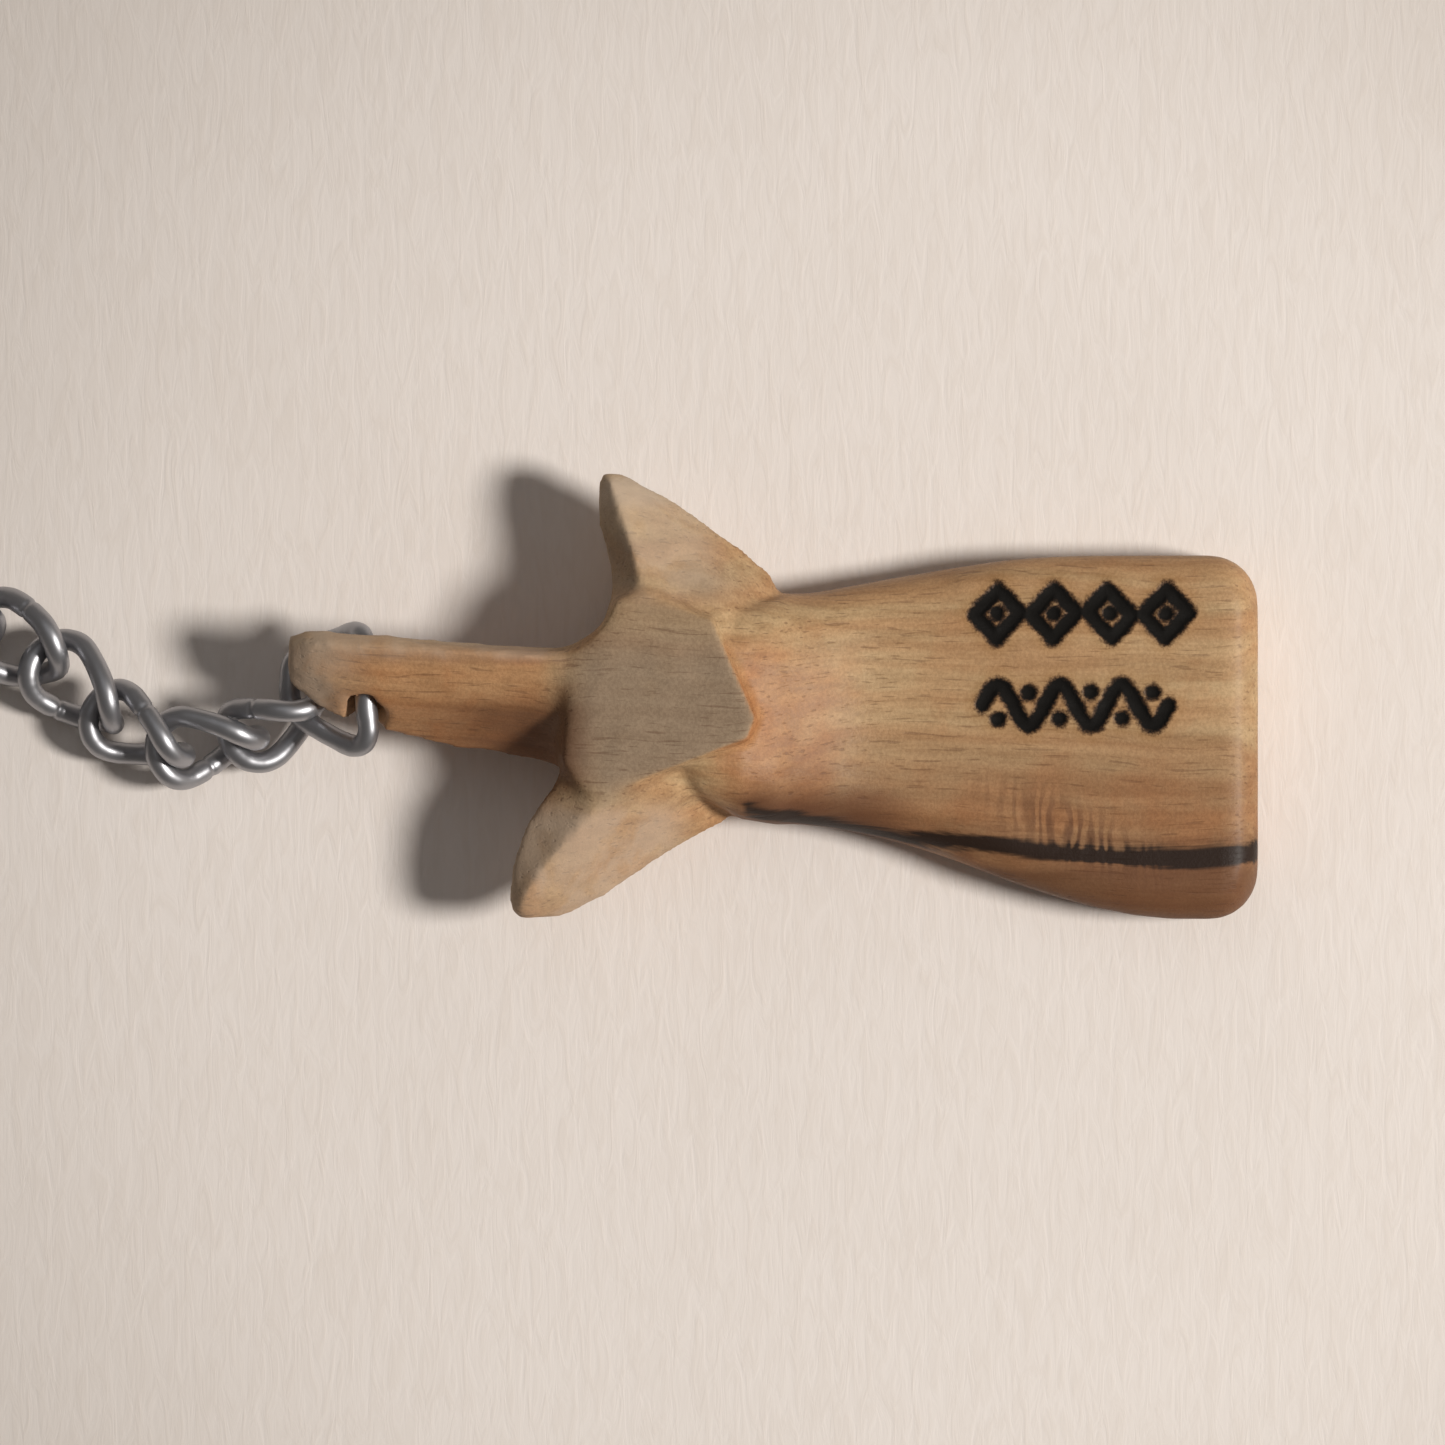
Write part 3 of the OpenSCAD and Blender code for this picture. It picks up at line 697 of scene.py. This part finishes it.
def fob_mesh(piece, look):
    """Rebuilds the fob's mesh finely, softens it, cuts the knife marks and burns in the ornament."""
    remesh = piece.modifiers.new("rebuild", "REMESH")
    remesh.mode = "VOXEL"
    remesh.voxel_size = look.cell
    mesh = evaluated_mesh(piece)
    put(mesh, smoothed(coordinates(mesh), edge_ends(mesh), 10, -0.52))
    refine_where(mesh, ornament_room)
    ends = edge_ends(mesh)
    places = soften(coordinates(mesh), ends)
    put(mesh, places)
    n = normals(mesh)
    p = places / MM
    bulge = np.einsum("ij,ij->i", places - smoothed(places, ends, 26, -0.46), n)

    facing = (n[:, 2] > 0.6) & (p[:, 0] > 22.0)
    stroke = stroke_gaps(p, facing, look)
    groove = ramp(0.12, -0.45, stroke)
    lip = np.exp(-((stroke - 0.22) / 0.16) ** 2)
    curly = curly_figure(p)
    rise = 0.09 * MM * curly * wandering(p, 1.7, 5) * ramp(0.0, 0.5, n[:, 2])
    burn = (0.035 * MM * lip - look.burn_depth * groove) * facing
    put(mesh, places + n * (burn + rise - knife_cuts(p, look))[:, None])

    store(mesh, "convexity", np.clip(bulge / (0.30 * MM), -1.0, 1.0))
    store(mesh, "burn_mm", np.clip(stroke, -2.0, 6.0))
    store(mesh, "streak_mm", np.clip(streak_gaps(p, n), -2.0, 8.0))
    store(mesh, "curly", curly)
    store(mesh, "zones", wood_zones(p, n), "FLOAT_COLOR")
    mesh.shade_smooth()


class KEYCHAIN_OT_carved_fob(bpy.types.Operator):
    """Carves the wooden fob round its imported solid, with its grain, streak and burnt ornament"""
    bl_idname = "keychain.carved_fob"
    bl_label = "Carved fob"

    def execute(self, context):
        look = context.scene.keychain_fob
        piece = welded_copy("carved_fob", "whittled_fob")
        fob_mesh(piece, look)
        piece.data.materials.clear()
        piece.data.materials.append(carved_wood(look))
        keep_in_box(piece.data, "carved_fob")
        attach(piece, "fob")
        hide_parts("carved_fob")
        return {"FINISHED"}


def keep_in_box(mesh, node):
    """Pulls back any point that stands out of the node's box."""
    low, high = (np.array(corner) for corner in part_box(node))
    put(mesh, np.clip(coordinates(mesh), low, high))


# ---- wires ----

def node_frame(node):
    """Middle and own axes of a looped node, from how its surface is spread: long, wide, thin."""
    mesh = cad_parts[node].data
    mesh.calc_loop_triangles()
    places = coordinates(mesh)
    corners = np.array([t.vertices[:] for t in mesh.loop_triangles])
    a, b, c = (places[corners[:, k]] for k in range(3))
    area = np.linalg.norm(np.cross(b - a, c - a), axis=1)
    middles = (a + b + c) / 3
    middle = (middles * area[:, None]).sum(0) / area.sum()
    spread = (middles - middle).T @ ((middles - middle) * area[:, None])
    _, axes = np.linalg.eigh(spread)
    long, wide = axes[:, 2], axes[:, 1]
    return middle, np.stack([long, wide, np.cross(long, wide)], 1)


def finish_tree(nodes, given, made, curve, profile, radius=1.0, caps=False):
    """Sweeps the profile along the curve, places it, and ends in plain geometry with its material."""
    swept = nodes.add("GeometryNodeCurveToMesh", {"Curve": curve, "Profile Curve": profile, "Scale": radius,
                                                  "Fill Caps": caps})
    normal = nodes.add("GeometryNodeInputNormal").outputs[0]
    place = nodes.add("GeometryNodeInputPosition").outputs[0]
    outward = nodes.add("ShaderNodeVectorMath", {0: place}, operation="NORMALIZE").outputs[0]
    outside = nodes.add("ShaderNodeVectorMath", {0: normal, 1: outward}, operation="DOT_PRODUCT")
    mesh = named(nodes, swept.outputs["Mesh"], "outside", outside.outputs["Value"])
    placed = nodes.add("GeometryNodeTransform", {"Geometry": mesh, "Translation": given["Place"],
                                                 "Rotation": given["Turn"]})
    smooth = nodes.add("GeometryNodeSetShadeSmooth", {"Geometry": placed.outputs[0]})
    real = nodes.add("GeometryNodeRealizeInstances", {"Geometry": smooth.outputs[0]})
    coated = nodes.add("GeometryNodeSetMaterial", {"Geometry": real.outputs[0],
                                                   "Material": given["Material"]})
    nodes.feed(made["Geometry"], coated.outputs[0])
    return nodes.tree


def named(nodes, geometry, name, value):
    node = nodes.add("GeometryNodeStoreNamedAttribute", {"Geometry": geometry, "Name": name},
                     data_type="FLOAT", domain="POINT")
    nodes.feed(next(s for s in node.inputs if s.name == "Value" and s.enabled), value)
    return node.outputs["Geometry"]


def seam_mask(nodes, centre, width, length_of_wire):
    """1 at the butt joint and 0 away from it, along a closed wire."""
    along = nodes.add("GeometryNodeSplineParameter").outputs["Length"]
    away = nodes.math("ABSOLUTE", nodes.minus(along, nodes.times(length_of_wire, centre)))
    return nodes.step(away, nodes.times(width, 1.5), nodes.times(width, 0.35))


WIRE_INPUTS = {"Wire Diameter": 0.002, "Seam Width": 0.0002, "Seam Place": 0.25, "Place": None, "Turn": None,
               "Seed": 0.0, "Material": None}
AROUND_WIRE = 18                         # sides of a round wire


def round_wire(nodes, given, made, curve):
    """A round, slightly uneven wire along the curve, nicked at its butt joint."""
    whole = nodes.add("GeometryNodeCurveLength", {"Curve": curve}).outputs[0]
    seam = seam_mask(nodes, given["Seam Place"], given["Seam Width"], whole)
    marked = named(nodes, curve, "seam", seam)
    place = nodes.add("GeometryNodeInputPosition").outputs[0]
    seeded = nodes.add("ShaderNodeTexNoise", {"Vector": place, "W": given["Seed"], "Scale": 420.0,
                                              "Detail": 2.0}, noise_dimensions="4D").outputs["Fac"]
    worn = nodes.minus(1.0, nodes.times(nodes.step(seeded, 0.30, 0.70), 0.07))
    pinched = nodes.minus(worn, nodes.times(seam, 0.10))
    radius = nodes.times(nodes.times(given["Wire Diameter"], 0.5), pinched)
    profile = nodes.add("GeometryNodeCurvePrimitiveCircle", {"Resolution": AROUND_WIRE, "Radius": 1.0})
    return finish_tree(nodes, given, made, marked, profile.outputs["Curve"], radius)


def moved_points(nodes, curve, x, y, z=0.0):
    """The curve or mesh with each point at the place that the three values give."""
    place = nodes.add("ShaderNodeCombineXYZ", {0: x, 1: y, 2: z}).outputs[0]
    return nodes.add("GeometryNodeSetPosition", {"Geometry": curve, "Position": place}).outputs[0]


def place_parts(nodes):
    place = nodes.add("GeometryNodeInputPosition").outputs[0]
    return nodes.add("ShaderNodeSeparateXYZ", {0: place}).outputs


def link_tree():
    """One twisted link: a long loop of wire, turned about its length towards each end."""
    nodes, given, made = new_tree("GeometryNodeTree", "twisted_link", {
        "Eye Length": 0.0072, "Eye Width": 0.0044, "Twist": 0.87, **WIRE_INPUTS}, ("Geometry",))
    wire = given["Wire Diameter"]
    half_length = nodes.times(nodes.plus(given["Eye Length"], wire), 0.5)
    half_width = nodes.times(nodes.plus(given["Eye Width"], wire), 0.5)
    circle = nodes.add("GeometryNodeCurvePrimitiveCircle", {"Resolution": 128, "Radius": half_width})
    x, y, _ = place_parts(nodes)
    half_straight = nodes.minus(half_length, half_width)
    side = nodes.times(nodes.math("SIGN", nodes.plus(x, 1e-7)), half_straight)
    loop = moved_points(nodes, circle.outputs["Curve"], nodes.plus(x, side), y)
    even = nodes.add("GeometryNodeResampleCurve", {"Curve": loop, "Count": 190})
    x, y, _ = place_parts(nodes)
    angle = nodes.times(nodes.math("DIVIDE", x, half_length), given["Twist"])
    twisted = moved_points(nodes, even.outputs[0], x, nodes.times(y, nodes.math("COSINE", angle)),
                           nodes.times(y, nodes.math("SINE", angle)))
    return round_wire(nodes, given, made, twisted)


def ring_tree():
    """A closed round ring in its own XY plane."""
    nodes, given, made = new_tree("GeometryNodeTree", "round_ring", {
        "Outer Diameter": 0.012, **WIRE_INPUTS}, ("Geometry",))
    wire = given["Wire Diameter"]
    radius = nodes.times(nodes.minus(given["Outer Diameter"], wire), 0.5)
    circle = nodes.add("GeometryNodeCurvePrimitiveCircle", {"Resolution": 160, "Radius": radius})
    return round_wire(nodes, given, made, circle.outputs["Curve"])


def bent_wire_tree():
    """A closed wire along the curve that carries the modifier."""
    nodes, given, made = new_tree("GeometryNodeTree", "bent_wire", {
        "Geometry": None, **WIRE_INPUTS}, ("Geometry",))
    even = nodes.add("GeometryNodeResampleCurve", {"Curve": given["Geometry"], "Count": 230})
    return round_wire(nodes, given, made, even.outputs[0])


COIL_START, COIL_SWEEP = math.radians(25), math.radians(670)
COIL_RAMP = (math.radians(335), math.radians(385))      # where the wire climbs to its upper turn
COIL_POINTS = 420


def split_ring_tree():
    """Two turns of flat wire that climb from the lower level to the upper one over a short ramp."""
    nodes, given, made = new_tree("GeometryNodeTree", "split_ring", {
        "Outer Diameter": 0.028, "Flat Width": 0.0022, "Flat Height": 0.0011, "Turn Gap": 0.00006,
        "Start": COIL_START, "Sweep": COIL_SWEEP, "Ramp Start": COIL_RAMP[0], "Ramp End": COIL_RAMP[1],
        "Place": None, "Turn": None, "Material": None}, ("Geometry",))
    line = nodes.add("GeometryNodeMeshLine", {"Count": COIL_POINTS, "Offset": (MM, 0.0, 0.0)},
                     mode="OFFSET")
    index = nodes.add("GeometryNodeInputIndex").outputs[0]
    part = nodes.math("DIVIDE", index, COIL_POINTS - 1.0)
    angle = nodes.plus(given["Start"], nodes.times(part, given["Sweep"]))
    across = nodes.minus(given["Outer Diameter"], given["Flat Width"])
    radius = nodes.times(across, 0.5)
    turn_height = nodes.plus(given["Flat Height"], given["Turn Gap"])
    climb = nodes.times(turn_height, nodes.step(angle, given["Ramp Start"], given["Ramp End"]))
    level = nodes.minus(climb, nodes.times(turn_height, 0.5))
    coil = moved_points(nodes, line.outputs[0], nodes.times(radius, nodes.math("COSINE", angle)),
                        nodes.times(radius, nodes.math("SINE", angle)), level)
    curve = nodes.add("GeometryNodeMeshToCurve", {"Mesh": coil})
    upright = nodes.add("GeometryNodeSetCurveNormal", {"Curve": curve.outputs[0]}, mode="Z_UP")
    flat = nodes.add("GeometryNodeCurvePrimitiveQuadrilateral", {
        "Width": given["Flat Width"], "Height": given["Flat Height"]})
    softened = nodes.add("GeometryNodeFilletCurve", {"Curve": flat.outputs["Curve"], "Radius": 0.22 * MM,
                                                     "Count": 4}, mode="POLY")
    return finish_tree(nodes, given, made, upright.outputs[0], softened.outputs[0], caps=True)


def grown_piece(name, tree, values, data=None):
    """A plain mesh object made by a geometry tree from the given input values."""
    piece = bpy.data.objects.new(name, data or bpy.data.meshes.new(name))
    bpy.context.scene.collection.objects.link(piece)
    modifier = piece.modifiers.new("grow", "NODES")
    modifier.node_group = tree
    sockets = {s.name: s.identifier for s in tree.interface.items_tree
               if s.item_type == "SOCKET" and s.in_out == "INPUT"}
    for label, value in values.items():
        modifier[sockets[label]] = value
    bpy.context.view_layer.update()
    graph = bpy.context.evaluated_depsgraph_get()
    made = bpy.data.meshes.new_from_object(piece.evaluated_get(graph), depsgraph=graph)
    made.name = name
    bpy.data.objects.remove(piece)
    if not made.vertices:
        raise RuntimeError(f"{name}: the tree made no mesh")
    work = bmesh.new()
    work.from_mesh(made)
    bmesh.ops.remove_doubles(work, verts=work.verts, dist=WELD)
    bmesh.ops.recalc_face_normals(work, faces=work.faces)
    work.to_mesh(made)
    work.free()
    made.shade_smooth()
    whole = bpy.data.objects.new(name, made)
    bpy.context.scene.collection.objects.link(whole)
    return whole


def wire_values(look, k):
    """Inputs that every wire of the chain takes; each is uneven in its own way, and joints change sides."""
    return {"Wire Diameter": look.wire, "Seam Width": look.seam, "Seam Place": 0.25 + 0.5 * (k % 2),
            "Seed": 3.0 * k + 1.0,
            "Material": worn_steel("chain_steel", look.steel, look.tarnish, look.dullness, look.polish)}


class KEYCHAIN_OT_chain(bpy.types.Operator):
    """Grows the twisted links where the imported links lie"""
    bl_idname = "keychain.chain"
    bl_label = "Chain links"

    def execute(self, context):
        look = context.scene.keychain_chain
        tree = link_tree()
        links = sorted(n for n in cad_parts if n.startswith("chain_link_"))
        if not links:
            raise RuntimeError("the frame has no chain links")
        for k, node in enumerate(links):
            middle, axes = node_frame(node)
            turn = Matrix(axes.tolist()).to_euler("XYZ")
            piece = grown_piece("twisted_" + node, tree, {
                "Eye Length": look.eye_length, "Eye Width": look.eye_width, "Twist": look.twist,
                "Place": tuple(middle), "Turn": tuple(turn), **wire_values(look, k)})
            keep_in_box(piece.data, node)
            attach(piece, node.replace("chain_", ""))
            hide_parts(node)
        return {"FINISHED"}


# The arm ring's points: along the arm, then across it, then in height, in millimetres, as the wire
# goes through the hole, round the arm's lower edge, across under its tip and back up behind it.
HOLE = (-27.4, 10.0)
ARM_UPPER, ARM_LOWER, RING_SIDE, RING_FAR_Z = 5.91, -2.34, 6.2, 5.6


def arm_ring_points():
    x, z = HOLE
    up, down, side = ARM_UPPER, ARM_LOWER, x - RING_SIDE
    return [(x, up - 2.6, z), (x, down + 2.0, z), (x + 0.2, down - 0.5, z - 0.3),
            (x - 0.6, down - 1.7, z - 1.2), (x - 2.6, down - 1.1, z - 2.6), (side, down + 1.3, RING_FAR_Z),
            (side - 0.5, (up + down) / 2, RING_FAR_Z), (side + 0.2, up - 2.2, RING_FAR_Z),
            (x - 2.4, up - 0.5, z - 3.3), (x - 0.5, up - 0.2, z - 1.3)]


def closed_curve(points, steps):
    """Points on a smooth closed curve through the given ones, with so many steps between two of them."""
    p = [Vector(q) for q in points]
    n = len(p)
    out = []
    for k in range(n):
        a, b, c, d = p[k - 1], p[k], p[(k + 1) % n], p[(k + 2) % n]
        for j in range(steps):
            t = j / steps
            out.append(0.5 * (2 * b + (c - a) * t + (2 * a - 5 * b + 4 * c - d) * t ** 2
                              + (3 * b - a - 3 * c + d) * t ** 3))
    return out


class KEYCHAIN_OT_arm_ring(bpy.types.Operator):
    """Bends the wire ring that goes through the hole in the long arm"""
    bl_idname = "keychain.arm_ring"
    bl_label = "Arm ring"

    def execute(self, context):
        look = context.scene.keychain_chain
        middle, _ = node_frame("arm_ring")
        curve = bpy.data.curves.new("arm_ring_path", "CURVE")
        curve.dimensions = "3D"
        spline = curve.splines.new("POLY")
        path = [p * MM - Vector(middle) for p in closed_curve(arm_ring_points(), 12)]
        spline.points.add(len(path) - 1)
        for point, place in zip(spline.points, path):
            point.co = (*place, 1.0)
        spline.use_cyclic_u = True
        piece = grown_piece("bent_arm_ring", bent_wire_tree(), {
            "Place": tuple(middle), "Turn": (0.0, 0.0, 0.0), **wire_values(look, 9)}, curve)
        keep_in_box(piece.data, "arm_ring")
        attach(piece, "arm_ring")
        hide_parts("arm_ring")
        return {"FINISHED"}


def split_ring_place(look):
    """Middle and turn of the split ring: its flat plane, with its own X towards the lifted side.

    Its two turns aren't quite whole, so the node's centroid lies a little off the middle of the coil.
    """
    centroid, axes = node_frame("split_key_ring")
    up = axes[:, 2] * (1.0 if axes[2, 2] > 0 else -1.0)
    uphill = np.array([0.0, 0.0, 1.0]) - up[2] * up
    uphill /= np.linalg.norm(uphill)
    radius = (look.key_outside - look.flat_width) / 2
    middle = centroid + uphill * 2 * radius * math.sin(COIL_START) / COIL_SWEEP
    turn = Matrix(np.stack([uphill, np.cross(up, uphill), up], 1).tolist()).to_euler("XYZ")
    return middle, turn


class KEYCHAIN_OT_key_rings(bpy.types.Operator):
    """Makes the connecting ring and the split key ring"""
    bl_idname = "keychain.key_rings"
    bl_label = "Key rings"

    def execute(self, context):
        look, chain = context.scene.keychain_rings, context.scene.keychain_chain
        steel = worn_steel("spring_steel", look.bright, chain.tarnish, look.dullness, look.polish)
        middle, axes = node_frame("connecting_ring")
        jump = grown_piece("connecting_ring_wire", ring_tree(), {
            "Outer Diameter": look.jump_outside - HAIR, "Wire Diameter": look.jump_wire,
            "Seam Width": chain.seam, "Seam Place": 0.6, "Seed": 40.0, "Material": steel,
            "Place": tuple(middle), "Turn": tuple(Matrix(axes.tolist()).to_euler("XYZ"))})
        middle, turn = split_ring_place(look)
        key = grown_piece("split_ring_wire", split_ring_tree(), {
            "Outer Diameter": look.key_outside - HAIR, "Flat Width": look.flat_width,
            "Flat Height": look.flat_height, "Turn Gap": look.turn_gap + HAIR / 2, "Place": tuple(middle),
            "Turn": tuple(turn), "Material": steel})
        for piece, node, body in ((jump, "connecting_ring", "connecting_ring"),
                                  (key, "split_key_ring", "key_ring")):
            keep_in_box(piece.data, node)
            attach(piece, body)
            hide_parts(node)
        return {"FINISHED"}


# ---- stage ----

CAMERA_AIM = (0.0037, -0.0020)
# Middle of the pool of light painted on the sheet.
PAINTED_LIGHT_MIDDLE = (0.016, -0.012, 0.0)          # where the sheet is brightest
WINDOW, SKY = (0.765, -0.06, 0.84), (-0.10, 0.45, 1.05)
SHEET_SIDE = 4.0
SKY_SHARE = 0.045                        # the sky's power beside the window's


def paper_material(look):
    """Warm white paper with faint fibres, and painted shade that darkens it away from a painted pool of
    light.
    """
    material, nodes, surface, place = new_material("fibrous_paper")
    fibre_room = nodes.stretched(place, (900.0, 190.0, 400.0), (0.0, 0.0, 0.25))
    fibres = nodes.noise(fibre_room, 1.0, 3.0, 0.6, 1.2)
    soft = nodes.noise(place, 28.0, 3.0)
    base = nodes.blend(nodes.step(fibres, 0.35, 0.72, 0.0, 0.20), rgba(look.paper), rgba(look.paper_fibre))
    base = nodes.blend(nodes.step(soft, 0.40, 0.70, 0.0, 0.10), base, (0.70, 0.62, 0.55, 1.0))
    away = nodes.stretched(nodes.vector_math("SUBTRACT", place, PAINTED_LIGHT_MIDDLE), (10.0, 10.0, 0.0))
    distance = nodes.add("ShaderNodeVectorMath", {0: away}, operation="LENGTH").outputs["Value"]
    # Painted shade: the sheet darkens with distance from the painted pool of light.
    base = nodes.blend(nodes.step(distance, 0.50, 1.25, 0.0, 0.50), base, rgba(look.paper_painted_shade))
    nodes.feed(surface.inputs["Base Color"], base)
    nodes.feed(surface.inputs["Roughness"], 0.9)
    nodes.feed(surface.inputs["Normal"], nodes.bump(fibres, 0.24, 0.25 * MM))
    return material


def area_light(name, place, size, power, tint):
    """A round light that faces the middle of the sheet."""
    data = bpy.data.lights.new(name, "AREA")
    data.shape, data.size, data.energy, data.color = "DISK", size, power, tint
    lamp = bpy.data.objects.new(name, data)
    lamp.location = place
    lamp.rotation_euler = (-Vector(place)).to_track_quat("-Z", "Y").to_euler()
    bpy.context.scene.collection.objects.link(lamp)


class KEYCHAIN_OT_stage(bpy.types.Operator):
    """Lays the paper, hangs the lights and sets the camera"""
    bl_idname = "keychain.stage"
    bl_label = "Stage"

    def execute(self, context):
        look = context.scene.keychain_stage
        scene = context.scene
        bpy.ops.mesh.primitive_plane_add(size=SHEET_SIDE, location=(0.0, 0.0, CAD_BOX[0][2] - HAIR))
        sheet = context.object
        sheet.name = "paper_sheet"
        sheet.data.materials.append(paper_material(look))

        data = bpy.data.cameras.new("over_the_table")
        data.sensor_width = 36.0
        data.lens = data.sensor_width * look.camera_height / look.frame_width
        data.clip_start, data.clip_end = 0.01, 20.0
        camera = bpy.data.objects.new("over_the_table", data)
        camera.location = (*CAMERA_AIM, look.camera_height)
        scene.collection.objects.link(camera)
        scene.camera = camera

        area_light("window_right", WINDOW, 0.25, look.key_power, (1.0, 0.965, 0.92))
        area_light("sky_above", SKY, 0.9, look.key_power * SKY_SHARE, (0.93, 0.96, 1.0))
        world = bpy.data.worlds.new("soft_room")
        world.use_nodes = True
        world.node_tree.nodes["Background"].inputs["Color"].default_value = (1.0, 0.93, 0.87, 1.0)
        world.node_tree.nodes["Background"].inputs["Strength"].default_value = look.fill
        scene.world = world
        scene.view_settings.view_transform = "Standard"
        return {"FINISHED"}


class KEYCHAIN_PT_build(bpy.types.Panel):
    """Lists the keychain's settings and the steps that build it"""
    bl_idname = "KEYCHAIN_PT_build"
    bl_label = "Whittled keychain"
    bl_space_type = "VIEW_3D"
    bl_region_type = "UI"
    bl_category = "Keychain"

    def draw(self, context):
        for title, settings, steps in STEPS:
            box = self.layout.box()
            box.label(text=title)
            group = getattr(context.scene, settings)
            for key in group.bl_rna.properties.keys():
                if key not in {"rna_type", "name"}:
                    box.prop(group, key)
            for step in steps:
                box.operator(step.bl_idname)


SETTINGS = {"keychain_fob": KeychainFobSettings, "keychain_chain": KeychainChainSettings,
            "keychain_rings": KeychainRingSettings, "keychain_stage": KeychainStageSettings}
STEPS = (("Fob", "keychain_fob", (KEYCHAIN_OT_carved_fob,)),
         ("Chain", "keychain_chain", (KEYCHAIN_OT_arm_ring, KEYCHAIN_OT_chain)),
         ("Key rings", "keychain_rings", (KEYCHAIN_OT_key_rings,)),
         ("Stage", "keychain_stage", (KEYCHAIN_OT_stage,)))
CLASSES = (*SETTINGS.values(), *(step for _, _, steps in STEPS for step in steps), KEYCHAIN_PT_build)


def register():
    for cls in CLASSES:
        bpy.utils.register_class(cls)
    for key, group in SETTINGS.items():
        setattr(bpy.types.Scene, key, bpy.props.PointerProperty(type=group))


def unregister():
    for key in SETTINGS:
        delattr(bpy.types.Scene, key)
    for cls in reversed(CLASSES):
        bpy.utils.unregister_class(cls)


def main():
    register()
    bpy.ops.keychain.stage()
    bpy.ops.keychain.carved_fob()
    bpy.ops.keychain.arm_ring()
    bpy.ops.keychain.chain()
    bpy.ops.keychain.key_rings()


if __name__ == "__main__":
    main()
